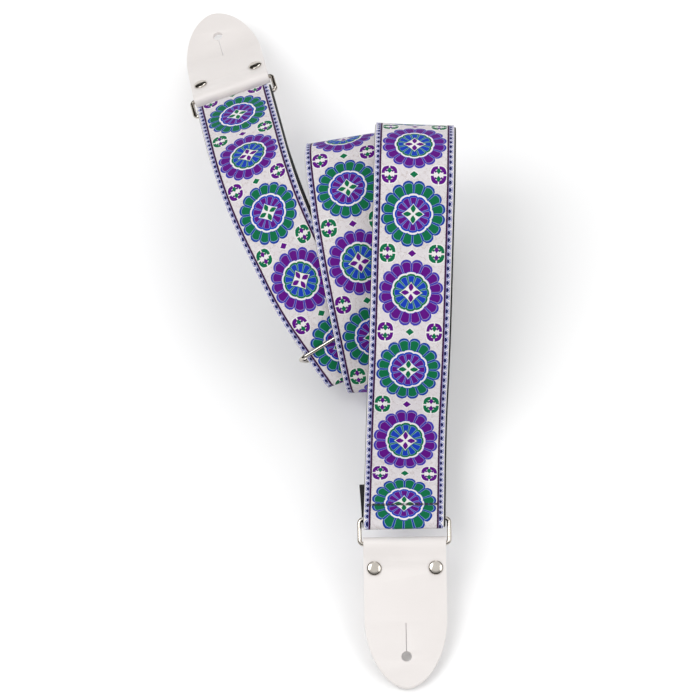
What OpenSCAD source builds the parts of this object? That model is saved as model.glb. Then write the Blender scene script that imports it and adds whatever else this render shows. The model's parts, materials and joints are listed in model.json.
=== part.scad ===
// Guitar strap, 2 inches wide, with two leather ends, rectangle rings and a three-bar slide.
// It lies on a table, laid back and forth in three runs.
// Origin: on the table, below the middle of the folded strap. +Y runs from the front
// fold towards the back loops, +X runs to the right. Millimetres and degrees.

/* [Band] */
// Width of the black webbing
band_w = 50.8; // [46.8:0.5:51.8]
// Thickness of the webbing
webbing_t = 1.4; // [1.2:0.1:1.5]
// Thickness of the woven ribbon sewn on top of the webbing
ribbon_t = 0.8; // [0.6:0.1:0.9]
// Width of the woven ribbon
ribbon_w = 49.4; // [43.4:0.5:49.9]
// Gap left between ribbon and webbing
layer_gap = 0.1; // [0.05:0.05:0.15]

/* [Hardware] */
// Diameter of the ring wire
ring_d = 2.8; // [2.6:0.1:3.2]
// Opening of a ring along the strap
ring_gap = 12.5; // [11:0.5:14]
// Diameter of the bars of the slide
slide_d = 2.6; // [2.2:0.1:2.8]
// Distance between neighbouring bars of the slide
slide_pitch = 9.5; // [9.3:0.1:10.5]
// Running clearance round a bar
bar_clear = 0.25; // [0.2:0.05:0.35]

/* [Leather ends] */
// Width of a leather end
tab_w = 51; // [48:1:54]
// Thickness of the leather
leather_t = 2.6; // [2.2:0.1:2.8]
// Length from the ring bar to the tip
tab_l = 90; // [88:1:92]
// Distance from the tip to the centre of the button hole
hole_from_tip = 20; // [17:1:22]
// Diameter of the button hole
hole_d = 6.4; // [5:0.1:7]
// Length of the slit above the button hole
slit_l = 17; // [14:1:20]
// Distance from the ring bar to the rivets
rivet_from_ring = 15.2; // [14.4:0.2:17]
// Distance between the two rivets
rivet_pitch = 38; // [34:1:40]
// Diameter of a rivet cap
rivet_d = 9; // [7:0.5:9.5]

/* [Hidden] */

$fn = 48;

// Finishes
woven = [0.86, 0.82, 0.84];
black = [0.05, 0.05, 0.06];
thread = [0.10, 0.09, 0.12];
white = [0.94, 0.92, 0.90];
nickel = [0.72, 0.68, 0.62];

// The band is measured along its length from the upper ring. A point on it is given by
// that distance, by its place across the width (right positive) and by its height above
// the middle of the thickness (patterned side positive).
fabric_t = ribbon_t + layer_gap + webbing_t;
ribbon_low = fabric_t / 2 - ribbon_t;
webbing_high = webbing_t - fabric_t / 2;
turn_r = ring_d / 2 + bar_clear + fabric_t / 2;
half_turn = PI * turn_r;

// Start of the lay at the upper ring: place, heading, rise and roll
lay_start = [-71.1, 147.4, 58.3];
lay_heading = 10;
lay_rise = 26;
lay_roll = 12.5;

// Creases of the lay: distance from the upper ring, angle, radius, skew.
// A positive angle keeps the pattern on the outside.
creases = [
    [54, 46, 87, 28],      // first run arches over
    [156, 35, 59, -14],    // first run drops to its fold
    [236, 150, 4.5, 12.5], // front fold of the first run
    [256, -27, 84, 0],     // hidden strand eases down
    [346.5, 185.5, 37, 2.3], // back loop of the second run
    [480, 50.5, 90, -4.5], // second run comes down
    [603.5, 124, 19, 8.3], // front fold of the second run
    [662.5, -12.5, 184, 0], // hidden strand eases onto the table
    [703.6, 14.9, 110.2, 2.4], // back loop of the third run leaves the table
    [732.5, 90.2, 52.7, 2.4],  // back loop rises
    [815.7, 23.7, 124.4, 2.4], // back loop leans to the front
    [867.4, 58.2, 56.3, 2.4],  // back loop comes over
    [932.5, 45.5, 25, -3.9], // third run leaves its loop
    [1028, 22.5, 101, 0],  // third run comes down
    [1090, -68.5, 33.5, -2] // third run levels out
];

// Shift of the ribbon to the left on the webbing
ribbon_shift = 0.4;
// How far the band reaches past the upper ring bar before it turns
upper_reach = 3;
// Length of the band from the upper ring bar to the lower turn
band_end = 1173.2;
// Angle of the lower turn across the band, in degrees
end_skew = 2.6;
// Length sewn back behind the lower ring
flap_l = 30;
// Distance from the lower turn to its seam
seam_at = 12.4;
// How far the lower ring bar sits back from the turn
pocket_play = 3.2;
// Place of the centre bar of the slide along the first run
slide_at = 213;
// Length of the returned strand between ring turn and slide loop
return_l = 200.5;
// Where the sewn loop of the slide ends
loop_back = 184;
// Play kept between stacked strands
strand_gap = 0.5;

// ---- Lay of the band ----
function spin(v, k, a) = v * cos(a) + cross(k, v) * sin(a) + k * (k * v) * (1 - cos(a));
function unit(v) = v / norm(v);

start_dir = [
    sin(lay_heading) * cos(lay_rise),
    -cos(lay_heading) * cos(lay_rise),
    sin(lay_rise)
];
start_side = spin([cos(lay_heading), sin(lay_heading), 0], start_dir, lay_roll);

// A state is [distance, point, direction, side] where a crease begins
function arc_of(c) = c[2] * abs(c[1]) * PI / 180;
function fold_line(st, c) = cos(c[3]) * st[3] + sin(c[3]) * st[2];
function fold_dir(st, c) = cos(c[3]) * st[2] - sin(c[3]) * st[3];
function advance(st, s) = [s, st[1] + (s - st[0]) * st[2], st[2], st[3]];
function beyond(st, c) =
    let (
        n = cross(st[2], st[3]),
        a = fold_line(st, c),
        b = fold_dir(st, c),
        sg = sign(c[1]),
        th = abs(c[1]),
        run = arc_of(c) / cos(c[3]),
        p = st[1] + run * sin(c[3]) * a + c[2] * sin(th) * b - sg * c[2] * (1 - cos(th)) * n,
        k = cross(b, -sg * n)
    )
    [st[0] + run, p, spin(st[2], k, th), spin(st[3], k, th)];
function lay(i, st) =
    i == len(creases) ? [st] :
    let (here = advance(st, creases[i][0]))
    concat([here], lay(i + 1, beyond(here, creases[i])));
states = lay(0, [0, lay_start, start_dir, start_side]);

function flat_at(st, s, u, h) =
    st[1] + (s - st[0]) * st[2] + u * st[3] + h * cross(st[2], st[3]);
function bent_at(st, c, s, u, h, v) =
    let (
        n = cross(st[2], st[3]),
        q = (s - st[0]) * sin(c[3]) + u * cos(c[3]),
        f = v / c[2] * 180 / PI,
        sg = sign(c[1]),
        r = c[2] + sg * h
    )
    st[1] + q * fold_line(st, c) + r * sin(f) * fold_dir(st, c) + sg * (r * cos(f) - c[2]) * n;
function place(s, u, h, i = 0) =
    let (st = states[i])
    i == len(creases) ? flat_at(st, s, u, h) :
    let (c = creases[i], v = (s - st[0]) * cos(c[3]) - u * sin(c[3]))
    v <= 0 ? flat_at(st, s, u, h) :
    v < arc_of(c) ? bent_at(st, c, s, u, h, v) :
    place(s, u, h, i + 1);

// Frames of the flat ends
first_n = cross(start_dir, start_side);
last = states[len(creases)];
last_n = cross(last[2], last[3]);

// The whole band: returned strand, turn round the upper ring, main run, turn round the
// lower ring, sewn flap. The returned strand and the flap close up to the main run.
closed = 2 * turn_r - fabric_t;
function ease(x) = x <= 0 ? 0 : x >= 1 ? 1 : x * x * (3 - 2 * x);
function turn_at(s0, out, n, psi, u, h) =
    place(s0, u, 0) + out * (turn_r + h) * sin(psi) + n * ((turn_r + h) * cos(psi) - turn_r);

// Height of the returned strand, which closes up to the main run on its way to the slide
function return_h(back) =
    -2 * turn_r + (closed - strand_gap) * min(1, max(0, back - 2) / 188);

// The lower turn lies a little askew, so the flap runs back at twice that angle
end_out = last[2] * cos(end_skew) + last[3] * sin(end_skew);
end_line = last[3] * cos(end_skew) - last[2] * sin(end_skew);
function on_band(s, u, h) =
    let (
        back = -2 * upper_reach - half_turn - s,
        past = (s - band_end) * cos(end_skew) + u * sin(end_skew),
        q = u * cos(end_skew) - (s - band_end) * sin(end_skew),
        under = past - half_turn,
        edge_s = band_end - q * sin(end_skew),
        edge_u = q * cos(end_skew)
    )
    back > -upper_reach ? place(back, u, return_h(back) - h) :
    s < -upper_reach ?
        turn_at(-upper_reach, -start_dir, first_n, (-upper_reach - s) / turn_r * 180 / PI, u, h) :
    past <= 0 ? place(s, u, h) :
    under <= 0 ? turn_at(edge_s, end_out, last_n, past / turn_r * 180 / PI, edge_u, h) :
    place(
        edge_s - under * cos(end_skew),
        edge_u - under * sin(end_skew),
        -2 * turn_r - h + (closed - 0.3) * ease((under - 5) / 12)
    );

// The loop sewn round the centre bar of the slide. Distance runs from the cut end of the
// returned strand, round the bar, and back behind it.
loop_r = slide_d / 2 + bar_clear + fabric_t / 2;
strand_h = -fabric_t - strand_gap;
bar_h = strand_h - loop_r;
loop_in = slide_at - return_l - 0.1;
loop_turn = PI * loop_r;
function on_loop(d, u, g) =
    d < loop_in ? place(return_l + 0.1 + d, u, strand_h + g) :
    d < loop_in + loop_turn ?
        let (f = (d - loop_in) / loop_r * 180 / PI)
        place(slide_at + (loop_r + g) * sin(f), u, bar_h + (loop_r + g) * cos(f)) :
    place(slide_at - (d - loop_in - loop_turn), u, bar_h - loop_r - g);

// ---- Stations along the band ----
// A station is [distance on the centre line, slope of the cross line]. Between two knots
// stations are spread evenly.
function spread(a, b, count) = [for (j = [0 : count - 1]) a + (b - a) * j / count];
function knots(a, b, last_slope = 0) = [
    [a, 0, 1],
    for (i = [0 : len(creases) - 1])
        let (c = creases[i], k = tan(c[3]), e = c[0] + arc_of(c) / cos(c[3]))
        if (c[0] > a && e < b)
            each [[c[0], k, ceil(abs(c[1]) / 8)], [e, k, 1]],
    [b, last_slope, 1]
];
end_slope = -tan(end_skew);
function stations(list, step) = [
    for (i = [0 : len(list) - 2])
        each spread(
            [list[i][0], list[i][1]],
            [list[i + 1][0], list[i + 1][1]],
            max(list[i][2], ceil((list[i + 1][0] - list[i][0]) / step))
        ),
    [list[len(list) - 1][0], list[len(list) - 1][1]]
];
function straight(a, b, count) = [for (j = [0 : count - 1]) [a + (b - a) * j / count, 0]];

top_line = stations(knots(0, band_end, end_slope), 14);
main_line = concat(
    straight(-upper_reach - half_turn, -upper_reach, 10),
    [[-upper_reach, 0]],
    top_line,
    [for (j = [1 : 10]) [band_end + half_turn * j / 10, end_slope]],
    [for (j = [1 : 8]) [band_end + half_turn + flap_l * j / 8, end_slope]]
);
return_line = [
    for (q = stations(knots(0.1 - upper_reach, return_l), 14))
        [-2 * upper_reach - half_turn - q[0], -q[1]]
];
crease_end = creases[1][0] + arc_of(creases[1]) / cos(creases[1][3]);
loop_skew = tan(creases[1][3]);
after_turn = loop_in + loop_turn;
loop_line = concat(
    straight(0, loop_in, 3),
    straight(loop_in, after_turn, 12),
    stations([
        [after_turn, 0, 1],
        [after_turn + slide_at - crease_end, -loop_skew, 3],
        [after_turn + slide_at - loop_back, 0, 1]
    ], 5)
);

// ---- Strips ----
// A strip is a ribbon of even thickness through stations. `where` picks the path:
// 0 the band, 1 the loop of the slide.
function spot(path, s, u, h) = path == 0 ? on_band(s, u, h) : on_loop(s, u, h);
function corner(path, q, u, h) = spot(path, q[0] + u * q[1], u, h);
module strip(line, left, right, low, high, path = 0) {
    count = len(line);
    points = [
        for (q = line)
            each [
                corner(path, q, left, high),
                corner(path, q, right, high),
                corner(path, q, right, low),
                corner(path, q, left, low)
            ]
    ];
    sides = [
        for (j = [0 : count - 2])
            for (i = [0 : 3])
                let (a = 4 * j + i, b = 4 * j + (i + 1) % 4)
                each [[a, b, b + 4], [a, b + 4, a + 4]]
    ];
    e = 4 * (count - 1);
    ends = [[0, 3, 2], [0, 2, 1], [e, e + 1, e + 2], [e, e + 2, e + 3]];
    polyhedron(points = points, faces = concat(sides, ends));
}

ribbon_left = -ribbon_w / 2 - ribbon_shift;
ribbon_right = ribbon_w / 2 - ribbon_shift;
module jacquard_ribbon()
    color(woven)
        strip(main_line, ribbon_left, ribbon_right, ribbon_low, fabric_t / 2);

module backing_webbing()
    color(black)
        strip(main_line, -band_w / 2, band_w / 2, -fabric_t / 2, webbing_high);

module return_ribbon()
    color(woven)
        strip(return_line, ribbon_left, ribbon_right, ribbon_low, fabric_t / 2);

module return_webbing()
    color(black)
        strip(return_line, -band_w / 2, band_w / 2, -fabric_t / 2, webbing_high);

// Thread laid on the ribbon near both edges
thread_w = 0.6;
thread_t = 0.25;
thread_lift = fabric_t / 2 + 0.05;
module ribbon_edge_stitching()
    color(thread)
        for (u = [ribbon_left + 0.9, ribbon_right - 0.9])
            strip(
                top_line,
                u - thread_w / 2,
                u + thread_w / 2,
                thread_lift,
                thread_lift + thread_t
            );

// Seam across the band that holds the flap behind the lower ring
module lower_end_stitching()
    color(thread)
        strip(
            [for (j = [0 : 2]) [band_end - seam_at - 1 + j, end_slope]],
            ribbon_left + 1.6,
            ribbon_right - 1.6,
            thread_lift,
            thread_lift + thread_t
        );

module slide_loop_ribbon()
    color(woven)
        strip(loop_line, ribbon_left, ribbon_right, -fabric_t / 2, -ribbon_low, 1);

module slide_loop_webbing()
    color(black)
        strip(loop_line, -band_w / 2, band_w / 2, -webbing_high, fabric_t / 2, 1);

// Two seams across the sewn loop, on its back
module slide_loop_stitching()
    color(thread)
        for (d = [6, 24])
            strip(
                straight(after_turn + d, after_turn + d + 1.6, 2),
                -band_w / 2 + 2,
                band_w / 2 - 2,
                thread_lift,
                thread_lift + thread_t,
                1
            );

// ---- Metal ----
// Closed wire frame in the XY plane: bars along X at y = 0 and y = height
module wire_frame(width, height, d, corner_r) {
    half = width / 2;
    for (y = [0, height])
        translate([-half + corner_r, y, 0])
            rotate([0, 90, 0])
                cylinder(d = d, h = width - 2 * corner_r);
    for (x = [-half, half])
        translate([x, corner_r, 0])
            rotate([-90, 0, 0])
                cylinder(d = d, h = height - 2 * corner_r);
    for (q = [[1, 1, 0], [-1, 1, 90], [-1, -1, 180], [1, -1, 270]])
        translate([
            q[0] * (half - corner_r),
            height / 2 + q[1] * (height / 2 - corner_r),
            0
        ])
            rotate([0, 0, q[2]])
                rotate_extrude(angle = 90)
                    translate([corner_r, 0])
                        circle(d = d);
}

// Puts children into the frame of origin o, X axis x and Y axis y
module in_frame(o, x, y) {
    z = cross(x, y);
    multmatrix([
        [x[0], y[0], z[0], o[0]],
        [x[1], y[1], z[1], o[1]],
        [x[2], y[2], z[2], o[2]],
        [0, 0, 0, 1]
    ])
        children();
}

slide_x = states[2][3];
slide_n = cross(states[2][2], slide_x);
slide_o = place(slide_at, 0, bar_h);
front_h = fabric_t / 2 + 0.4 + slide_d / 2 - bar_h;
slide_tilt = asin(front_h / slide_pitch);
slide_y = -states[2][2] * cos(slide_tilt) + slide_n * sin(slide_tilt);
slide_w = band_w + 2.6 + slide_d;
module length_slide()
    color(nickel)
        in_frame(slide_o, slide_x, slide_y) {
            translate([0, -slide_pitch, 0])
                wire_frame(slide_w + 2, 2 * slide_pitch, slide_d, 5);
            translate([-slide_w / 2 - 1, 0, 0])
                rotate([0, 90, 0])
                    cylinder(d = slide_d, h = slide_w + 2);
        }

// Rings: the strap bar sits in the turn of the band, the other bar carries the leather
ring_in = max(band_w, tab_w - 1) + 1.9;
ring_corner = 2.4;
ring_pitch = ring_gap + ring_d;
upper_swing = 8;
lower_swing = -37;
upper_bar = lay_start - first_n * turn_r;
upper_out = -start_dir * cos(upper_swing) + first_n * sin(upper_swing);
lower_bar = place(band_end, 0, 0) - last_n * turn_r - end_out * pocket_play;
lower_out = end_out * cos(lower_swing) + last_n * sin(lower_swing);

module upper_ring()
    color(nickel)
        in_frame(upper_bar, start_side, upper_out)
            wire_frame(ring_in + ring_d, ring_pitch, ring_d, ring_corner);

module lower_ring()
    color(nickel)
        in_frame(lower_bar, -end_line, lower_out)
            wire_frame(ring_in + ring_d, ring_pitch, ring_d, ring_corner);

// ---- Leather ends ----
// Each end is folded round its ring bar and riveted. Its side profile follows a spine
// given by [distance from the bar, downward slope] pairs.
upper_slopes = [[0, 30], [20, 30], [32, 37], [45, 35], [56, 18], [68, 7], [110, 5]];
lower_slopes = [[0, 25], [30, 22], [60, 18], [110, 14]];
fold_in = ring_d / 2 + bar_clear;
back_l = 31;

function slope_at(list, d, i = 0) =
    i >= len(list) - 2 || d <= list[i + 1][0] ?
        list[i][1] + (list[i + 1][1] - list[i][1])
            * (d - list[i][0]) / (list[i + 1][0] - list[i][0]) :
    slope_at(list, d, i + 1);
function spine(list, d, step = 1) =
    d <= 0 ? [0, 0] :
    let (g = min(step, d), a = slope_at(list, d - g / 2))
    spine(list, d - g) + g * [cos(a), -sin(a)];
function spine_up(list, d) = let (a = slope_at(list, d)) [sin(a), cos(a)];
layer_mid = leather_t / 2 + 0.05;
function layer_off(d) = layer_mid + (fold_in - 0.05) * (1 - ease((d - 1) / 8.6));
function edge(list, d, off) = spine(list, d) + off * spine_up(list, d);

// Half width of the leather at a distance from the bar
tip_l = 44.5;
fold_half_w = min(tab_w / 2, ring_in / 2 - 0.3);
function half_w(d) =
    let (x = (d - tab_l + tip_l) / tip_l)
    d <= tab_l - tip_l ? fold_half_w + (tab_w / 2 - fold_half_w) * ease((d - 4) / 8) :
    tab_w / 2 * pow(max(0, 1 - x * x), 0.55);

front_steps = [for (i = [0 : 28]) (tab_l + 3) * i / 28];
back_steps = [for (i = [0 : 10]) back_l * i / 10];
outline_steps = concat(
    [0, 4, 6, 8, 10, 12],
    [for (i = [0 : 18]) tab_l - tip_l + tip_l * sin(5 * i)]
);

module side_profile(list) {
    a0 = slope_at(list, 0);
    outer = fold_in + leather_t;
    polygon(concat(
        [for (i = [28 : -1 : 0]) edge(list, front_steps[i],
            layer_off(front_steps[i]) + leather_t / 2)],
        [for (i = [1 : 11]) outer * [-sin(15 * i - a0), cos(15 * i - a0)]],
        [for (d = back_steps) edge(list, d, -layer_off(d) - leather_t / 2)],
        [for (i = [10 : -1 : 0]) edge(list, back_steps[i],
            -layer_off(back_steps[i]) + leather_t / 2)],
        [for (i = [11 : -1 : 1]) fold_in * [-sin(15 * i - a0), cos(15 * i - a0)]],
        [for (d = front_steps) edge(list, d, layer_off(d) - leather_t / 2)]
    ));
}

module tab_outline(list)
    polygon(concat(
        [[-fold_half_w, -8], [fold_half_w, -8]],
        [for (d = outline_steps) [half_w(d), spine(list, d)[0]]],
        [for (i = [len(outline_steps) - 2 : -1 : 0])
            [-half_w(outline_steps[i]), spine(list, outline_steps[i])[0]]]
    ));

// Puts children on the spine at distance d, Z axis square to the leather
module on_spine(list, d) {
    p = spine(list, d);
    translate([0, p[0], p[1]])
        rotate([-slope_at(list, d), 0, 0])
            children();
}

module leather_end(list) {
    hole_at = tab_l - hole_from_tip;
    difference() {
        intersection() {
            rotate([90, 0, 90])
                translate([0, 0, -tab_w / 2])
                    linear_extrude(tab_w)
                        side_profile(list);
            translate([0, 0, -tab_l])
                linear_extrude(2 * tab_l)
                    tab_outline(list);
        }
        for (x = [-1, 1])
            on_spine(list, rivet_from_ring)
                translate([x * rivet_pitch / 2, 0, -10])
                    cylinder(d = 3.4, h = 20);
        on_spine(list, hole_at)
            translate([0, 0, -6])
                cylinder(d = hole_d, h = 12);
        on_spine(list, hole_at - hole_d / 2 - slit_l / 2)
            cube([0.5, slit_l + 1, 14], center = true);
    }
}

module each_rivet(list)
    for (x = [-1, 1])
        on_spine(list, rivet_from_ring)
            translate([x * rivet_pitch / 2, 0, 0])
                children();

face_h = leather_t + 0.1;
module rivet_post()
    translate([0, 0, -face_h])
        cylinder(d = 3.2, h = 2 * face_h);

module rivet_cap()
    translate([0, 0, face_h + 0.02])
        rotate_extrude()
            polygon([
                [0, 0], [rivet_d / 2 - 0.3, 0], [rivet_d / 2, 0.3],
                [rivet_d / 2 - 0.1, 0.7], [rivet_d / 2 - 0.7, 1.1],
                [rivet_d / 2 - 2, 1.4], [rivet_d / 2 - 3.2, 1.5], [0, 1.5]
            ]);

module rivet_back()
    translate([0, 0, -face_h - 1.02])
        cylinder(d = rivet_d - 0.5, h = 1);

// Frames of the leather ends: X along the ring bar, Y level, away from the ring
upper_tab_o = upper_bar + upper_out * ring_pitch;
upper_tab_y = unit(cross([0, 0, 1], start_side));
lower_tab_o = lower_bar + lower_out * ring_pitch;
lower_tab_y = unit(cross([0, 0, 1], -end_line));

module upper_place()
    in_frame(upper_tab_o, start_side, upper_tab_y)
        children();

module lower_place()
    in_frame(lower_tab_o, -end_line, lower_tab_y)
        children();

module upper_leather_end()
    color(white)
        upper_place()
            leather_end(upper_slopes);

module upper_rivet_posts()
    color(nickel)
        upper_place()
            each_rivet(upper_slopes)
                rivet_post();

module upper_rivet_caps()
    color(nickel)
        upper_place()
            each_rivet(upper_slopes)
                rivet_cap();

module upper_rivet_backs()
    color(nickel)
        upper_place()
            each_rivet(upper_slopes)
                rivet_back();

module lower_leather_end()
    color(white)
        lower_place()
            leather_end(lower_slopes);

module lower_rivet_posts()
    color(nickel)
        lower_place()
            each_rivet(lower_slopes)
                rivet_post();

module lower_rivet_caps()
    color(nickel)
        lower_place()
            each_rivet(lower_slopes)
                rivet_cap();

module lower_rivet_backs()
    color(nickel)
        lower_place()
            each_rivet(lower_slopes)
                rivet_back();

jacquard_ribbon();
backing_webbing();
return_ribbon();
return_webbing();
ribbon_edge_stitching();
lower_end_stitching();
slide_loop_ribbon();
slide_loop_webbing();
slide_loop_stitching();
length_slide();
upper_ring();
upper_leather_end();
upper_rivet_posts();
upper_rivet_caps();
upper_rivet_backs();
lower_ring();
lower_leather_end();
lower_rivet_posts();
lower_rivet_caps();
lower_rivet_backs();
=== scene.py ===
"""Looks of the guitar strap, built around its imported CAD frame. Metres, +Z up."""

import json
import math

import bmesh
import bpy
import numpy as np
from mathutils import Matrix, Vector


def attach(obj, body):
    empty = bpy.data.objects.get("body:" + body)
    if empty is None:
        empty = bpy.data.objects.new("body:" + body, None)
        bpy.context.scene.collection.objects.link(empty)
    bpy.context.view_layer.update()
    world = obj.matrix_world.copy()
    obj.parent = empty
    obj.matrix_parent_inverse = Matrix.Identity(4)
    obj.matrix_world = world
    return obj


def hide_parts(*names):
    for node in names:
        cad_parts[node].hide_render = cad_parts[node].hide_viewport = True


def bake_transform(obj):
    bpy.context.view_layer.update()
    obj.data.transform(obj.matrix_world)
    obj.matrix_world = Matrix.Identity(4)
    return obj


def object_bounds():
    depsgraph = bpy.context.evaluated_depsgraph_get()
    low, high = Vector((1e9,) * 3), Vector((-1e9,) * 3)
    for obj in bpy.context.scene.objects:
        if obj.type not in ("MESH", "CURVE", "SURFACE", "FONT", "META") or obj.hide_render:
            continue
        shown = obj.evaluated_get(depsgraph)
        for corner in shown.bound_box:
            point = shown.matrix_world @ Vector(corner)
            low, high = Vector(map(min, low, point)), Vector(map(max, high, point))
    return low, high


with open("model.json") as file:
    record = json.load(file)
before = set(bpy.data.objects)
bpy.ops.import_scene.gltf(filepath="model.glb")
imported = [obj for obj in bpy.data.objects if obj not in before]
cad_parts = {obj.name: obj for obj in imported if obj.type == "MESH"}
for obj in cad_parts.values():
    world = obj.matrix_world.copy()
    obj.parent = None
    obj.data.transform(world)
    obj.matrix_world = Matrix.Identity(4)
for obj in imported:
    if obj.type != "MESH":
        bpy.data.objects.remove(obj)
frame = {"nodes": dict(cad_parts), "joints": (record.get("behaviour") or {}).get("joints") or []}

START_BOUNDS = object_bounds()
MM = 0.001

# ---- The woven pattern ----
REPEAT = 48.7 * MM  # from one medallion to the next


def visible_run(place, number, before, after):
    """Marks at both ends of a run that keeps its natural repeat: (distance, pattern
    count). place is where medallion number lies, before and after are in repeats."""
    return [
        (place - before * REPEAT, number - before),
        (place + after * REPEAT, number + after),
    ]


# Distances are counted from the upper ring bar, repeats from the first medallion below it
# (number 0, green; odd numbers are purple). Hidden strands between the runs take up the
# difference between length and pattern.
RUN_MARKS = np.array(
    visible_run(20 * MM, 0, 0.0, 4.5)
    + visible_run(482.8 * MM, 10, 0.7, 2.5)
    + visible_run(917.5 * MM, 19, 0.7, 5.0)
)

# Sizes of the pattern, in millimetres
MEDALLION_HALF = (20.8, 20.3)  # along, across
OUTER_PETALS, INNER_PETALS = 16, 12
ROSETTE_AT = 15.2  # from the middle line of the ribbon
PLUM_FROM, SELVEDGE_FROM, CHAIN_FROM = 20.4, 21.6, 21.9  # from the middle line
CHAIN_LINKS = 11  # in one repeat
WARP, WEFT = 0.42, 0.36  # thread spacing

# Colours, linear
# field and border
CREAM = (0.72, 0.68, 0.70)
GREEN = (0.001, 0.155, 0.058)
PURPLE = (0.112, 0.002, 0.22)
ROYAL = (0.006, 0.045, 0.46)
PERIWINKLE = (0.050, 0.040, 0.40)
DEEP_BLUE = (0.008, 0.05, 0.33)
PALE_BLUE = (0.27, 0.42, 0.66)
NAVY = (0.012, 0.014, 0.085)
PLUM = (0.045, 0.010, 0.055)
LAVENDER = (0.36, 0.32, 0.56)
WHITE = (0.82, 0.80, 0.80)
TAN = (0.50, 0.42, 0.39)


# ---- Shader maths ----
class Maths:
    """Builds arithmetic out of shader nodes, so a pattern can be written as formulas."""

    def __init__(self, tree):
        self.tree = tree

    def op(self, kind, *values):
        node = self.tree.nodes.new("ShaderNodeMath")
        node.operation = kind
        for slot, value in zip(node.inputs, values):
            if isinstance(value, bpy.types.NodeSocket):
                self.tree.links.new(value, slot)
            else:
                slot.default_value = value
        return node.outputs[0]

    def add(self, a, b):
        return self.op("ADD", a, b)

    def sub(self, a, b):
        return self.op("SUBTRACT", a, b)

    def mul(self, a, b):
        return self.op("MULTIPLY", a, b)

    def div(self, a, b):
        return self.op("DIVIDE", a, b)

    def less(self, a, b):
        return self.op("LESS_THAN", a, b)

    def more(self, a, b):
        return self.op("GREATER_THAN", a, b)

    def both(self, a, b):
        return self.op("MULTIPLY", a, b)

    def either(self, a, b):
        return self.op("MAXIMUM", a, b)

    def absolute(self, a):
        return self.op("ABSOLUTE", a)

    def power(self, a, b):
        return self.op("POWER", a, b)

    def length(self, a, b):
        return self.op("SQRT", self.add(self.mul(a, a), self.mul(b, b)))

    def smooth(self, a, low, high):
        """0 below low, 1 above high, with a soft step between them."""
        node = self.tree.nodes.new("ShaderNodeMapRange")
        node.interpolation_type = "SMOOTHSTEP"
        self.tree.links.new(a, node.inputs["Value"])
        node.inputs["From Min"].default_value = low
        node.inputs["From Max"].default_value = high
        return node.outputs["Result"]

    def between(self, a, low, high):
        return self.both(self.more(a, low), self.less(a, high))

    def mix(self, share, a, b):
        node = self.tree.nodes.new("ShaderNodeMix")
        node.data_type = "RGBA"
        for slot, value in ((0, share), (6, a), (7, b)):
            if isinstance(value, bpy.types.NodeSocket):
                self.tree.links.new(value, node.inputs[slot])
            elif slot == 0:
                node.inputs[slot].default_value = value
            else:
                node.inputs[slot].default_value = (*value, 1)
        return node.outputs[2]

    def blob(self, x, y, half_x, half_y):
        """1 inside an ellipse about the origin."""
        return self.less(self.length(self.div(x, half_x), self.div(y, half_y)), 1)

    def swell(self, x, y, half_x, half_y, power):
        """Less than 1 inside a diamond (power 1), leaf (1.4), oval (2) or pad (3)."""
        across = self.power(self.absolute(self.div(x, half_x)), power)
        return self.add(across, self.power(self.absolute(self.div(y, half_y)), power))

    def diamond(self, x, y, half_x, half_y, power=1.0):
        """1 inside a diamond about the origin."""
        return self.less(self.swell(x, y, half_x, half_y, power), 1)


def new_material(name):
    material = bpy.data.materials.new(name)
    material.use_nodes = True
    tree = material.node_tree
    tree.nodes.clear()
    out = tree.nodes.new("ShaderNodeOutputMaterial")
    shader = tree.nodes.new("ShaderNodeBsdfPrincipled")
    tree.links.new(shader.outputs[0], out.inputs[0])
    return material, tree, shader


def set_bump(tree, shader, height, strength, distance):
    bump = tree.nodes.new("ShaderNodeBump")
    bump.inputs["Strength"].default_value = strength
    bump.inputs["Distance"].default_value = distance
    tree.links.new(height, bump.inputs["Height"])
    tree.links.new(bump.outputs[0], shader.inputs["Normal"])


def noise(tree, scale, detail):
    """Noise fixed to the object, in metres."""
    node = tree.nodes.new("ShaderNodeTexNoise")
    node.inputs["Scale"].default_value = scale
    node.inputs["Detail"].default_value = detail
    place = tree.nodes.new("ShaderNodeTexCoord").outputs["Object"]
    tree.links.new(place, node.inputs["Vector"])
    return node.outputs[0]


def weave_place(tree):
    """Place on a fabric: pattern repeats along it, millimetres across it."""
    uv = tree.nodes.new("ShaderNodeUVMap")
    uv.uv_map = "weave"
    parts = tree.nodes.new("ShaderNodeSeparateXYZ")
    tree.links.new(uv.outputs[0], parts.inputs[0])
    return parts.outputs[0], parts.outputs[1]


def cream_field(tree, m):
    """Cream with faint scrolls."""
    scroll = m.mul(m.between(noise(tree, 260, 4), 0.50, 0.53), 0.55)
    flecks = m.both(m.more(noise(tree, 420, 2), 0.60), 0.35)
    return m.mix(flecks, m.mix(scroll, CREAM, TAN), WHITE)


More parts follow.
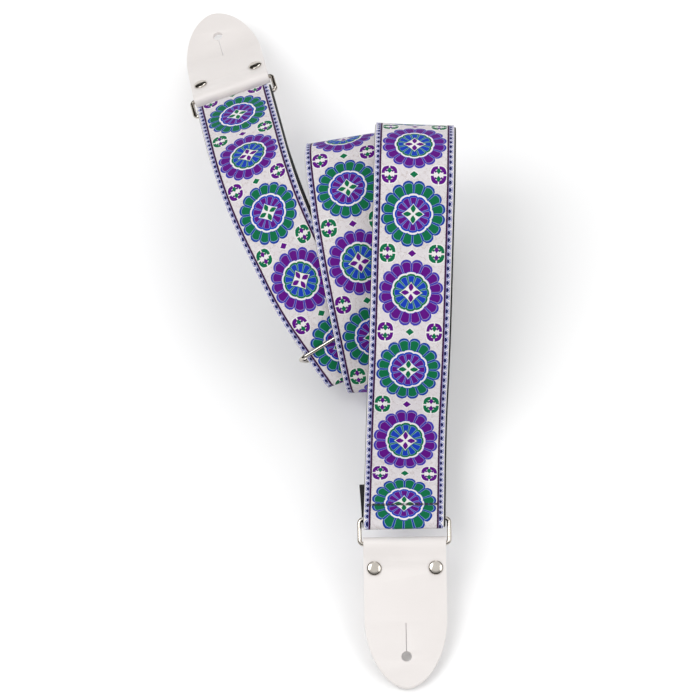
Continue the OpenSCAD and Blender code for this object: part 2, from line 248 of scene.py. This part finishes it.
def medallions(m, colour, along, x_mm, y_mm):
    """Large medallions, green and purple in turn, drawn over colour."""
    count = m.op("ROUND", along)
    odd = m.more(m.op("PINGPONG", count, 1.0), 0.5)
    mx = m.sub(x_mm, m.mul(count, REPEAT / MM))
    r = m.length(m.div(mx, MEDALLION_HALF[0]), m.div(y_mm, MEDALLION_HALF[1]))
    turn = m.div(m.op("ARCTAN2", y_mm, mx), 2 * math.pi)

    def petals(number, shift=0.0):
        """Distance from the middle line of the nearest petal, 0 to 1 at its flank."""
        f = m.op("FRACT", m.add(m.mul(turn, number), shift + number))
        return m.absolute(m.mul(m.sub(f, 0.5), 2))

    def dome(flank):
        """Round tip of a petal."""
        return m.op("SQRT", m.sub(1.0001, m.mul(flank, flank)))

    def within(edge, inset, flank, reach):
        """1 inside the edge less an inset, and nearer than reach to a petal's middle."""
        return m.both(m.less(r, m.sub(edge, inset)), m.less(flank, reach))

    outer = petals(OUTER_PETALS)
    inner = petals(INNER_PETALS, 0.5)
    inner_dome = dome(inner)
    outer_edge = m.add(0.845, m.mul(dome(outer), 0.15))
    ring_edge = m.add(0.575, m.mul(inner_dome, 0.04))
    inner_edge = m.add(0.515, m.mul(inner_dome, 0.045))

    petal = m.mix(odd, GREEN, PURPLE)
    rim = m.mix(odd, DEEP_BLUE, PERIWINKLE)
    seam = m.mix(odd, PALE_BLUE, LAVENDER)
    core = m.mix(odd, PURPLE, ROYAL)
    core_rim = m.mix(odd, ROYAL, GREEN)
    core_seam = m.mix(odd, LAVENDER, PALE_BLUE)

    # Outer petals: deep outline, pale inner line, plain body
    colour = m.mix(m.less(r, outer_edge), colour, rim)
    colour = m.mix(m.both(within(outer_edge, 0.062, outer, 0.84), 0.7), colour, seam)
    colour = m.mix(within(outer_edge, 0.082, outer, 0.75), colour, petal)

    # White scalloped ring and inner petals
    colour = m.mix(m.less(r, m.add(ring_edge, 0.02)), colour, rim)
    colour = m.mix(m.less(r, ring_edge), colour, WHITE)
    colour = m.mix(m.less(r, inner_edge), colour, core_rim)
    colour = m.mix(m.both(within(inner_edge, 0.055, inner, 0.88), 0.6), colour, core_seam)
    colour = m.mix(within(inner_edge, 0.065, inner, 0.68), colour, core)

    # Four leaves in a white diamond
    ax, ay = m.absolute(mx), m.absolute(y_mm)
    colour = m.mix(m.diamond(ax, ay, 7.4, 7.9, 0.86), colour, core_rim)
    colour = m.mix(m.diamond(ax, ay, 6.7, 7.2, 0.86), colour, WHITE)
    leaves = m.either(
        m.diamond(m.sub(ax, 3.35), ay, 2.5, 1.55, 1.35),
        m.diamond(ax, m.sub(ay, 3.6), 1.55, 2.5, 1.35),
    )
    return m.mix(leaves, colour, petal)


def small_motifs(m, colour, along, x_mm, y_mm, side):
    """Halfway between medallions: a diamond, and a rosette of four hooks on each side."""
    count = m.op("FLOOR", along)
    odd = m.more(m.op("PINGPONG", count, 1.0), 0.5)
    gx = m.sub(x_mm, m.mul(m.add(count, 0.5), REPEAT / MM))
    gem = m.mix(odd, PURPLE, GREEN)
    main = m.mix(odd, GREEN, PURPLE)
    colour = m.mix(m.diamond(gx, y_mm, 3.0, 3.3), colour, WHITE)
    colour = m.mix(m.diamond(gx, y_mm, 2.2, 2.6), colour, gem)

    sx, sy = m.absolute(gx), m.absolute(m.sub(side, ROSETTE_AT))
    pad = m.swell(sx, sy, 5.7, 4.9, 2.7)
    colour = m.mix(m.less(pad, 1.35), colour, WHITE)
    hook = m.both(m.both(m.less(pad, 1.0), m.more(pad, 0.26)), m.more(sy, 0.4))
    colour = m.mix(m.both(hook, m.more(sx, 0.5)), colour, main)
    colour = m.mix(m.blob(m.sub(sx, 2.1), m.sub(sy, 1.9), 0.75, 0.75), colour, main)
    return m.mix(m.diamond(m.sub(sx, 2.4), sy, 2.0, 1.6), colour, gem)


def border(m, colour, along, side):
    """Plum line, then a chain of navy ovals under white arcs, on a pale selvedge."""
    link = REPEAT / MM / CHAIN_LINKS
    lx = m.mul(m.sub(m.op("FRACT", m.mul(along, CHAIN_LINKS)), 0.5), link)
    colour = m.mix(m.more(side, PLUM_FROM), colour, PLUM)
    colour = m.mix(m.more(side, SELVEDGE_FROM), colour, LAVENDER)
    chain = m.more(side, CHAIN_FROM)
    colour = m.mix(chain, colour, ROYAL)
    arch = m.length(m.div(lx, 2.1), m.div(m.sub(side, CHAIN_FROM), 2.3))
    arcs = m.either(m.more(arch, 1.0), m.between(arch, 0.70, 0.84))
    colour = m.mix(m.both(chain, arcs), colour, WHITE)
    return m.mix(m.blob(lx, m.sub(side, 22.5), 1.3, 0.75), colour, NAVY)


def ribbon_material():
    """Jacquard ribbon: two medallions in turn, small motifs between, a border each side."""
    material, tree, shader = new_material("jacquard")
    m = Maths(tree)
    along, across = weave_place(tree)

    # Threads make every outline a little ragged
    x_rag = m.mul(m.sub(noise(tree, 900, 1), 0.5), 0.35)
    y_rag = m.mul(m.sub(noise(tree, 1100, 1), 0.5), 0.3)
    x_mm = m.add(m.mul(along, REPEAT / MM), x_rag)
    y_mm = m.add(across, y_rag)
    side = m.absolute(y_mm)

    colour = cream_field(tree, m)
    colour = medallions(m, colour, along, x_mm, y_mm)
    colour = small_motifs(m, colour, along, x_mm, y_mm, side)
    colour = border(m, colour, along, side)

    # Fine thread shading
    warp = m.op("SINE", m.mul(across, 2 * math.pi / WARP))
    weft = m.op("SINE", m.mul(along, 2 * math.pi * REPEAT / MM / WEFT))
    weave = m.mul(m.mul(warp, weft), 0.5)
    shade = m.add(0.92, m.mul(weave, 0.16))
    grey = tree.nodes.new("ShaderNodeCombineXYZ")
    for slot in grey.inputs:
        tree.links.new(shade, slot)
    tint = tree.nodes.new("ShaderNodeMix")
    tint.data_type = "RGBA"
    tint.blend_type = "MULTIPLY"
    tint.inputs[0].default_value = 1.0
    tree.links.new(colour, tint.inputs[6])
    tree.links.new(grey.outputs[0], tint.inputs[7])
    tree.links.new(tint.outputs[2], shader.inputs["Base Color"])
    shader.inputs["Roughness"].default_value = 0.65
    shader.inputs["Specular IOR Level"].default_value = 0.12
    shader.inputs["Sheen Weight"].default_value = 0.03
    set_bump(tree, shader, weave, 0.4, 0.12 * MM)
    return material


def webbing_material():
    """Black webbing with ribs along the edges of its herringbone, with a painted highlight on the
    raised ribs.
    """
    material, tree, shader = new_material("webbing")
    m = Maths(tree)
    along, across = weave_place(tree)
    along = m.mul(along, REPEAT / MM)
    fold = m.op("PINGPONG", across, 4.0)
    rib = m.op("SINE", m.mul(m.add(along, fold), 2 * math.pi / 1.3))
    thread = m.op("SINE", m.mul(across, 2 * math.pi / 0.8))
    height = m.add(rib, m.mul(thread, 0.4))
    # Painted highlight: the colour is lighter where the ribs and threads stand up
    lift = m.add(0.5, m.mul(height, 0.25))
    tree.links.new(
        m.mix(lift, (0.006, 0.006, 0.007), (0.028, 0.027, 0.030)),
        shader.inputs["Base Color"],
    )
    shader.inputs["Roughness"].default_value = 0.7
    shader.inputs["Specular IOR Level"].default_value = 0.25
    shader.inputs["Sheen Weight"].default_value = 0.06
    set_bump(tree, shader, height, 0.6, 0.18 * MM)
    return material


def leather_material():
    """White smooth leather: fine grain, slight creases, soft gloss."""
    material, tree, shader = new_material("leather")
    m = Maths(tree)
    cells = tree.nodes.new("ShaderNodeTexVoronoi")
    cells.inputs["Scale"].default_value = 1500
    place = tree.nodes.new("ShaderNodeTexCoord").outputs["Object"]
    tree.links.new(place, cells.inputs["Vector"])
    grain = m.add(m.mul(cells.outputs["Distance"], 0.8), m.mul(noise(tree, 90, 4), 1.2))
    tone = m.mix(noise(tree, 35, 4), (0.74, 0.70, 0.68), (0.80, 0.76, 0.74))
    tree.links.new(tone, shader.inputs["Base Color"])
    shader.inputs["Roughness"].default_value = 0.42
    shader.inputs["Coat Weight"].default_value = 0.12
    shader.inputs["Coat Roughness"].default_value = 0.35
    set_bump(tree, shader, grain, 0.22, 0.18 * MM)
    return material


def metal_material():
    """Polished nickel with fine handling scratches."""
    material, tree, shader = new_material("nickel")
    m = Maths(tree)
    scratches = noise(tree, 2600, 5)
    rough = m.add(0.08, m.mul(scratches, 0.12))
    tree.links.new(rough, shader.inputs["Roughness"])
    tone = m.mix(noise(tree, 60, 3), (0.50, 0.46, 0.41), (0.64, 0.60, 0.55))
    tree.links.new(tone, shader.inputs["Base Color"])
    shader.inputs["Metallic"].default_value = 1.0
    return material


def thread_material(name, colour):
    """Twisted sewing thread."""
    material, tree, shader = new_material(name)
    m = Maths(tree)
    tone = m.mix(noise(tree, 3000, 2), colour, tuple(min(1, c * 1.8 + 0.01) for c in colour))
    tree.links.new(tone, shader.inputs["Base Color"])
    shader.inputs["Roughness"].default_value = 0.55
    shader.inputs["Sheen Weight"].default_value = 0.3
    return material


RIBBON = ribbon_material()
WEBBING = webbing_material()
LEATHER = leather_material()
NICKEL = metal_material()
BLACK_THREAD = thread_material("black_thread", (0.008, 0.008, 0.012))
PALE_THREAD = thread_material("lavender_thread", (0.30, 0.27, 0.42))


# ---- Reading strips back from the frame ----
WELD = 2e-6  # vertices nearer than this are one
THICKEST = 1.6 * MM  # no strip is thicker
NARROWEST = 40 * MM  # no strip is narrower, and no edge along one is this long


def merged(node):
    """Vertices of a CAD node and the neighbours of each, doubled vertices joined."""
    bm = bmesh.new()
    bm.from_mesh(frame["nodes"][node].data)
    bmesh.ops.remove_doubles(bm, verts=bm.verts, dist=WELD)
    bm.verts.index_update()
    points = np.array([v.co for v in bm.verts], float)
    near = [set() for _ in points]
    for e in bm.edges:
        a, b = e.verts[0].index, e.verts[1].index
        near[a].add(b)
        near[b].add(a)
    bm.free()
    return points, near


def layers_from(cap, near):
    """Rings of vertices met when walking away from one end of a strip."""
    rings, seen = [list(cap)], set(cap)
    while True:
        ring = sorted({b for a in rings[-1] for b in near[a]} - seen)
        if not ring:
            return rings
        rings.append(ring)
        seen |= set(ring)


def find_rings(points, near, width):
    """The rings of four vertices of a strip, from whichever end is found first."""

    def distance(a, b):
        return np.linalg.norm(points[a] - points[b])

    for a in range(len(points)):
        for b in near[a]:
            if b < a or not 0.98 * width <= distance(a, b) <= 1.001 * width:
                continue
            ends = [
                c
                for c in near[a] | near[b]
                if c not in (a, b) and min(distance(c, a), distance(c, b)) < THICKEST
            ]
            for i, c in enumerate(ends):
                for d in ends[i + 1 :]:
                    if d not in near[c]:
                        continue
                    rings = layers_from([a, b, c, d], near)
                    if all(len(r) == 4 for r in rings) and 4 * len(rings) == len(points):
                        return rings
    raise ValueError("a strip without an end")


def read_strip(points, near, start, width):
    """Cross sections of a CAD strip, from the end nearest to start: for each, the two
    pairs of points at its edges, and the direction ahead."""
    rings = [points[r] for r in find_rings(points, near, width)]
    if np.linalg.norm(rings[-1].mean(0) - start) < np.linalg.norm(rings[0].mean(0) - start):
        rings.reverse()
    centres = [r.mean(0) for r in rings]
    sections = []
    last_edge = None
    for i, ring in enumerate(rings):
        ahead = centres[min(i + 1, len(rings) - 1)] - centres[max(i - 1, 0)]
        ahead /= np.linalg.norm(ahead)
        order = sorted(range(1, 4), key=lambda k: np.linalg.norm(ring[k] - ring[0]))
        pair = [ring[0], ring[order[0]]]
        other = [ring[order[1]], ring[order[2]]]
        if last_edge is not None:
            if np.linalg.norm(pair[0] - last_edge) > np.linalg.norm(other[0] - last_edge):
                pair, other = other, pair
        sections.append([pair, other, ahead])
        last_edge = (pair[0] + pair[1]) / 2
    return sections


def oriented(sections, up_hint):
    """Each section as left high, right high, left low, right low, seen with the strip
    running ahead. up_hint points to the high side at the first section."""
    pair, other, ahead = sections[0]
    across = (other[0] + other[1] - pair[0] - pair[1]) / 2
    swap = np.dot(np.cross(ahead, across), up_hint) < 0
    out = []
    for pair, other, ahead in sections:
        left, right = (other, pair) if swap else (pair, other)
        across = (right[0] + right[1] - left[0] - left[1]) / 2
        up = np.cross(ahead, across)
        row = []
        for side in (left, right):
            high, low = side
            if np.dot(high - low, up) < 0:
                high, low = low, high
            row.append((high, low))
        out.append(np.array([row[0][0], row[1][0], row[0][1], row[1][1]]))
    return np.array(out)


def unit(v):
    return v / np.linalg.norm(v, axis=-1, keepdims=True)


def smooth_rows(rows, places):
    """Passes a smooth curve through each corner of the sections, at fractional indexes."""
    count = len(rows)
    i = np.clip(np.floor(places).astype(int), 0, count - 2)
    f = (places - i)[:, None, None]
    gap = np.linalg.norm(np.diff(rows.mean(1), axis=0), axis=1)[:, None, None]
    speed = np.diff(rows, axis=0) / gap
    slope = np.empty_like(rows)
    slope[0], slope[-1] = speed[0], speed[-1]
    before, after = gap[:-1], gap[1:]
    slope[1:-1] = (speed[:-1] * after + speed[1:] * before) / (before + after)
    a, b, g = rows[i], rows[i + 1], gap[i]
    return (
        a * (2 * f**3 - 3 * f**2 + 1)
        + slope[i] * g * (f**3 - 2 * f**2 + f)
        + b * (3 * f**2 - 2 * f**3)
        + slope[i + 1] * g * (f**3 - f**2)
    )


class Strip:
    """A CAD strip read back as a smooth surface. s is the distance along its middle,
    u the place across, both in metres."""

    def __init__(self, node, start, up_hint, first_s=0.0, sense=1, step=2.2 * MM):
        points, near = merged(node)
        edges = [np.linalg.norm(points[a] - points[b]) for a in range(len(points)) for b in near[a]]
        width = min(edge for edge in edges if edge > NARROWEST)
        rows = oriented(read_strip(points, near, start, width), up_hint)
        gap = np.linalg.norm(np.diff(rows.mean(1), axis=0), axis=1)
        places = [0.0]
        for k, g in enumerate(gap):
            n = max(1, math.ceil(g / step))
            places += [k + (j + 1) / n for j in range(n)]
        self.coarse = rows
        self.rows = smooth_rows(rows, np.array(places))
        self.places = np.array(places)
        self.width = width
        self.first_s, self.sense = first_s, sense
        self.measure(self.rows.mean(1))

    def measure(self, middle):
        """Works out distance and skew along a line that keeps its length."""
        gap = np.linalg.norm(np.diff(middle, axis=0), axis=1)
        self.d = np.concatenate([[0], np.cumsum(gap)])
        self.s = self.first_s + self.sense * self.d
        ahead = np.empty_like(middle)
        ahead[1:-1] = unit(np.diff(middle, axis=0)[:-1]) + unit(np.diff(middle, axis=0)[1:])
        ahead[0], ahead[-1] = middle[1] - middle[0], middle[-1] - middle[-2]
        ahead = unit(ahead)
        across = unit(self.rows[:, 1] - self.rows[:, 0])
        sine = np.clip((ahead * across).sum(1), -0.7, 0.7)
        self.skew = sine / np.sqrt(1 - sine**2)
        self.normal = unit(self.rows[:, 0] + self.rows[:, 1] - self.rows[:, 2] - self.rows[:, 3])

    def line(self, u, lift):
        """The upper face at a fixed place across: distances, points and normals."""
        share = u / self.width + 0.5
        p = self.rows[:, 0] * (1 - share) + self.rows[:, 1] * share
        bumps = ripple(self.s, share)[:, None]
        return self.d + u * self.skew, p + self.normal * (lift + bumps), self.normal


def ripple(s, share):
    """Small unevenness of worn fabric, the same for both layers of the band. share runs
    from 0 to 1 across it."""
    return (
        0.16 * np.sin(s * 61 + 3 * share)
        + 0.10 * np.sin(s * 137 + 1.3 + 5 * share)
        + 0.06 * np.sin(s * 263 + 4.1 - 4 * share)
    ) * MM


def pattern_count(s):
    """Pattern repeats passed at distance s."""
    inside = np.interp(s, RUN_MARKS[:, 0], RUN_MARKS[:, 1])
    before = np.minimum(s - RUN_MARKS[0, 0], 0) / REPEAT
    after = np.maximum(s - RUN_MARKS[-1, 0], 0) / REPEAT
    return inside + before + after


def stand_for(node):
    """Hides a CAD node, for a piece built in its place."""
    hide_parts(node)


def new_object(name, points, faces, material, uv=None):
    mesh = bpy.data.meshes.new(name)
    mesh.from_pydata([tuple(p) for p in points], [], faces)
    mesh.materials.append(material)
    if uv is not None:
        layer = mesh.uv_layers.new(name="weave")
        index = np.empty(len(mesh.loops), np.int64)
        mesh.loops.foreach_get("vertex_index", index)
        layer.data.foreach_set("uv", uv[index].astype(np.float32).ravel())
    mesh.polygons.foreach_set("use_smooth", [True] * len(mesh.polygons))
    mesh.update()
    obj = bpy.data.objects.new(name, mesh)
    bpy.context.scene.collection.objects.link(obj)
    return obj


def fabric_profile(columns, round_share, thick_share):
    """Cross section of a fabric strip: (share across, share up) once round, with soft
    sides."""
    top = [(x, 1.0) for x in np.linspace(round_share, 1 - round_share, columns)]
    right = [
        (1 - round_share + round_share * math.sin(a), 1 - thick_share + thick_share * math.cos(a))
        for a in (math.pi / 6, math.pi / 3, math.pi / 2)
    ]
    right += [(x, 1 - y) for x, y in reversed(right)]
    bottom = [(x, 0.0) for x, _ in reversed(top)]
    left = [(1 - x, 1 - y) for x, y in right]
    return top + right + bottom + left


def build_strip(name, strip, material, profile, ripple_share=1.0):
    """Sweeps the cross section along the strip."""
    rows, count = strip.rows, len(profile)
    points, uv = [], []
    for x, y in profile:
        low = rows[:, 2] * (1 - x) + rows[:, 3] * x
        high = rows[:, 0] * (1 - x) + rows[:, 1] * x
        s = strip.s + strip.sense * (x - 0.5) * strip.width * strip.skew
        p = low * (1 - y) + high * y
        p = p + strip.normal * (ripple_share * ripple(strip.s, x))[:, None]
        points.append(p)
        uv.append(np.stack([pattern_count(s), np.full(len(s), (x - 0.5) * strip.width / MM)], 1))
    points = np.array(points).transpose(1, 0, 2).reshape(-1, 3)
    uv = np.array(uv).transpose(1, 0, 2).reshape(-1, 2)
    faces = []
    for j in range(len(rows) - 1):
        for i in range(count):
            a, b = j * count + i, j * count + (i + 1) % count
            faces.append((a, a + count, b + count, b))
    faces.append(tuple(range(count)))
    faces.append(tuple(reversed(range((len(rows) - 1) * count, len(rows) * count))))
    return new_object(name, points, faces, material, uv)


STITCH_SIDES = 6


def add_stitch(points, faces, path, radius):
    """Adds one stitch: a soft tube along path that dips at both ends."""
    base, sides = len(points), STITCH_SIDES
    ahead = unit(path[-1][0] - path[0][0])
    for k, (p, n) in enumerate(path):
        side = np.cross(ahead, n)
        bulge = math.sin(math.pi * k / (len(path) - 1))
        fat = radius * (0.55 + 0.45 * bulge)
        centre = p + n * radius * (0.9 * bulge - 0.1)
        for q in range(sides):
            a = 2 * math.pi * q / sides
            points.append(centre + fat * (math.cos(a) * side + math.sin(a) * n))
    for k in range(len(path) - 1):
        for q in range(sides):
            a, b = base + k * sides + q, base + k * sides + (q + 1) % sides
            faces.append((a, b, b + sides, a + sides))
    faces.append(tuple(base + q for q in reversed(range(sides))))
    end = base + (len(path) - 1) * sides
    faces.append(tuple(end + q for q in range(sides)))


def place_at(x, xs, rows):
    """A point or direction between rows, which belong to the values xs."""
    return np.array([np.interp(x, xs, rows[:, k]) for k in range(3)])


def stitches(name, material, lines, length, gap, radius):
    """A piece of single stitches. Each line is (values, points, normals, first, last),
    and is stitched from its first value to its last."""
    points, faces = [], []
    for xs, ps, ns, first, last in lines:
        at = first
        while at + length <= last:
            path = [
                (place_at(x, xs, ps), unit(place_at(x, xs, ns)))
                for x in np.linspace(at, at + length, 5)
            ]
            add_stitch(points, faces, path, radius)
            at += length + gap
    return new_object(name, points, faces, material)


def line_across(strip, half, lift, left_d, right_d):
    """A line across a strip, from half left to half right of its middle. left_d and
    right_d are the distances along the strip at its ends."""
    us = np.linspace(-half, half, 61)
    ps, ns = [], []
    for u in us:
        d, p, n = strip.line(u, lift)
        at = np.interp(u, (-half, half), (left_d, right_d))
        ps.append(place_at(at, d, p))
        ns.append(place_at(at, d, n))
    return us, np.array(ps), unit(np.array(ns)), -half, half + 1e-9


# ---- The band ----
joints = {j["name"]: j for j in frame["joints"]}
upper_bar = np.array(joints["upper_ring_swing"]["pos_m"])
UP = np.array([0, 0, 1.0])
FLAP_L = 41 * MM  # lower turn and sewn flap, at the end of the main band

ribbon_profile = fabric_profile(17, 0.012, 0.45)
webbing_profile = fabric_profile(9, 0.012, 0.40)

# Both layers start at the turn round the upper ring, where the pattern faces down.
# The face between them keeps its length.
main_ribbon = Strip("jacquard_ribbon", upper_bar, -UP)
main_webbing = Strip("backing_webbing", upper_bar, -UP)
between = (main_ribbon.coarse[:, :2].mean(1) + main_webbing.coarse[:, 2:].mean(1)) / 2
steps = np.diff(between, axis=0)
measured = np.concatenate([[0], np.cumsum(np.linalg.norm(steps, axis=1))])
# Distance is counted from the foot of the upper bar on the first flat stretch
run = unit(steps)
flat = next(k for k in range(3, len(run) - 1) if run[k] @ run[k + 1] > 0.99999)
first_s = (between[flat] - upper_bar) @ run[flat] - measured[flat]
neutral = smooth_rows(between[:, None, :].repeat(2, 1), main_ribbon.places)[:, 0]
for strip in (main_ribbon, main_webbing):
    strip.first_s = first_s
    strip.measure(neutral)


def distance_of(point):
    """Distance along the main band, short of its flap, to the place nearest to a point."""
    gap = np.linalg.norm(neutral - point, axis=1)
    gap[main_ribbon.d > main_ribbon.d[-1] - FLAP_L] = np.inf
    return main_ribbon.d[np.argmin(gap)]


def line_ends(node):
    """Middle points of both ends of a straight thin CAD node, left end first."""
    points, _ = merged(node)
    spread = points - points.mean(0)
    axis = np.linalg.svd(spread)[2][0]
    reach = spread @ (axis * np.sign(axis[0]))
    left = points[reach < reach.min() + 3 * MM]
    right = points[reach > reach.max() - 3 * MM]
    return left.mean(0), right.mean(0)


for node, name, strip, material, profile in (
    ("jacquard_ribbon", "woven_ribbon", main_ribbon, RIBBON, ribbon_profile),
    ("backing_webbing", "black_webbing", main_webbing, WEBBING, webbing_profile),
):
    piece = build_strip(name, strip, material, profile)
    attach(piece, "strap")
    stand_for(node)

# Returned strand behind the first run, which follows the slide at its lower end
near_ring = main_ribbon.rows[0].mean(0)
for node, name, material, profile in (
    ("return_ribbon", "returned_ribbon", RIBBON, ribbon_profile),
    ("return_webbing", "returned_webbing", WEBBING, webbing_profile),
):
    strip = Strip(node, near_ring, -UP, first_s, sense=-1)
    piece = build_strip(name, strip, material, profile, 0.3)
    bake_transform(piece)
    stand_for(node)
return_end = strip.rows[-1].mean(0)
loop_s = first_s - strip.d[-1]

# Loop sewn round the slide
for node, name, material, profile in (
    ("slide_loop_ribbon", "slide_loop_ribbon_face", RIBBON, ribbon_profile),
    ("slide_loop_webbing", "slide_loop_webbing_back", WEBBING, webbing_profile),
):
    loop = Strip(node, return_end, UP, loop_s, sense=-1, step=1 * MM)
    piece = build_strip(name, loop, material, profile, 0.0)
    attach(piece, "length_slide")
    stand_for(node)

# Stitching
seam_left, seam_right = line_ends("lower_end_stitching")
edge_from = distance_of(upper_bar) + 6 * MM
edge_to = distance_of((seam_left + seam_right) / 2) + 9 * MM
edge_at = main_ribbon.width / 2 - 0.7 * MM
edge_lines = [(*main_ribbon.line(u, 0.02 * MM), edge_from, edge_to) for u in (-edge_at, edge_at)]
piece = stitches(
    "ribbon_edge_stitches", PALE_THREAD, edge_lines, length=2.3 * MM, gap=0.7 * MM, radius=0.2 * MM
)
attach(piece, "strap")
stand_for("ribbon_edge_stitching")

left_d, right_d = distance_of(seam_left), distance_of(seam_right)
end_half = main_ribbon.width / 2 - 1.8 * MM
end_lines = [
    line_across(main_ribbon, end_half, 0.1 * MM, left_d + shift, right_d + shift)
    for shift in (0.0, 0.9 * MM)
]
piece = stitches(
    "lower_end_seam", BLACK_THREAD, end_lines, length=2.6 * MM, gap=0.35 * MM, radius=0.3 * MM
)
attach(piece, "strap")
stand_for("lower_end_stitching")

# The two seams of the loop lie on its webbing, back from its sewn end
loop_lines = [
    line_across(loop, loop.width / 2 - 3 * MM, 0.1 * MM, loop.d[-1] - back, loop.d[-1] - back)
    for back in (5 * MM, 22 * MM)
]
piece = stitches(
    "slide_loop_seams", BLACK_THREAD, loop_lines, length=2.6 * MM, gap=0.6 * MM, radius=0.28 * MM
)
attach(piece, "length_slide")
stand_for("slide_loop_stitching")


# ---- Hard parts ----
SHARP = math.radians(35)  # edges bent more than this are rounded, or stay sharp


def soften(node, name, body, material, width=0.0):
    """A smooth-shaded copy of a CAD node. Its sharp edges are rounded by width."""
    bm = bmesh.new()
    bm.from_mesh(frame["nodes"][node].data)
    bmesh.ops.remove_doubles(bm, verts=bm.verts, dist=WELD)
    if width:
        bmesh.ops.dissolve_limit(
            bm, angle_limit=math.radians(0.5), verts=bm.verts, edges=bm.edges
        )
    mesh = bpy.data.meshes.new(name)
    bm.to_mesh(mesh)
    bm.free()
    mesh.materials.clear()
    mesh.materials.append(material)
    mesh.polygons.foreach_set("use_smooth", [True] * len(mesh.polygons))
    mesh.polygons.foreach_set("material_index", [0] * len(mesh.polygons))
    obj = bpy.data.objects.new(name, mesh)
    bpy.context.scene.collection.objects.link(obj)
    if width:
        bevel = obj.modifiers.new("round_edges", "BEVEL")
        bevel.width = width
        bevel.segments = 3
        bevel.limit_method = "ANGLE"
        bevel.angle_limit = SHARP
        bevel.harden_normals = True
        bevel.use_clamp_overlap = True
    else:
        mesh.set_sharp_from_angle(angle=SHARP)
    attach(obj, body)
    stand_for(node)


for end in ("upper", "lower"):
    body = end + "_leather"
    soften(end + "_leather_end", end + "_leather_tab", body, LEATHER, 0.45 * MM)
    soften(end + "_rivet_caps", end + "_rivet_domes", body, NICKEL)
    soften(end + "_rivet_posts", end + "_rivet_shanks", body, NICKEL)
    soften(end + "_rivet_backs", end + "_rivet_plates", body, NICKEL, 0.25 * MM)
    soften(end + "_ring", end + "_rectangle_ring", end + "_ring", NICKEL)
soften("length_slide", "three_bar_slide", "length_slide", NICKEL)

# ---- Floor, light and camera ----
FLOOR_SIZE = 6.0
floor_mesh = bpy.data.meshes.new("floor")
floor_bm = bmesh.new()
bmesh.ops.create_grid(floor_bm, x_segments=1, y_segments=1, size=FLOOR_SIZE / 2)
floor_bm.to_mesh(floor_mesh)
floor_bm.free()
floor = bpy.data.objects.new("floor", floor_mesh)
floor.location.z = START_BOUNDS[0].z - 0.2 * MM
bpy.context.scene.collection.objects.link(floor)
floor_material, _, floor_shader = new_material("pale_floor")
floor_shader.inputs["Base Color"].default_value = (0.98, 0.98, 0.98, 1)
floor_shader.inputs["Roughness"].default_value = 0.9
floor_mesh.materials.append(floor_material)

world = bpy.data.worlds.new("studio")
world.use_nodes = True
backdrop = world.node_tree.nodes["Background"]
backdrop.inputs["Strength"].default_value = 0.66
# Reflections see a bright ceiling over a dark room, the rest an even white
sky = world.node_tree
m = Maths(sky)
reflected = sky.nodes.new("ShaderNodeLightPath").outputs["Is Glossy Ray"]
direction = sky.nodes.new("ShaderNodeTexCoord").outputs["Generated"]
height = sky.nodes.new("ShaderNodeSeparateXYZ")
sky.links.new(direction, height.inputs[0])
overhead = m.smooth(height.outputs["Z"], 0.55, 0.9)
room = m.mix(overhead, (0.05, 0.045, 0.04), (1.5, 1.5, 1.5))
sky.links.new(m.mix(reflected, (1, 1, 1), room), backdrop.inputs["Color"])
bpy.context.scene.world = world


def area_light(name, place, target, size, power):
    """A round soft light that faces its target."""
    data = bpy.data.lights.new(name, "AREA")
    data.shape = "DISK"
    data.size = size
    data.energy = power
    obj = bpy.data.objects.new(name, data)
    obj.location = place
    obj.rotation_euler = (Vector(target) - Vector(place)).to_track_quat("-Z", "Y").to_euler()
    bpy.context.scene.collection.objects.link(obj)


area_light("key", (-0.9, -0.5, 1.8), (0, 0, 0), 1.2, 15)
area_light("fill", (1.3, -0.7, 1.4), (0, 0, 0), 1.4, 8)
area_light("rim", (0.2, 1.6, 1.2), (0, 0, 0.05), 1.0, 6.4)

# The camera looks down at the table from the front
CAMERA_RISE = math.radians(60.7)
CAMERA_DISTANCE = 2.5
CAMERA_AIM = Vector((4.1 * MM, -20.9 * MM, 25.8 * MM))
CAMERA_SPAN = 700 / 1570  # width seen at the aim point, in metres
camera_data = bpy.data.cameras.new("camera")
camera_data.lens = camera_data.sensor_width * CAMERA_DISTANCE / CAMERA_SPAN
camera = bpy.data.objects.new("camera", camera_data)
back = Vector((0, -math.cos(CAMERA_RISE), math.sin(CAMERA_RISE)))
camera.location = CAMERA_AIM + back * CAMERA_DISTANCE
camera.rotation_euler = (-back).to_track_quat("-Z", "Y").to_euler()
camera_data.clip_end = 20
bpy.context.scene.collection.objects.link(camera)
bpy.context.scene.camera = camera
bpy.context.scene.view_settings.view_transform = "Standard"
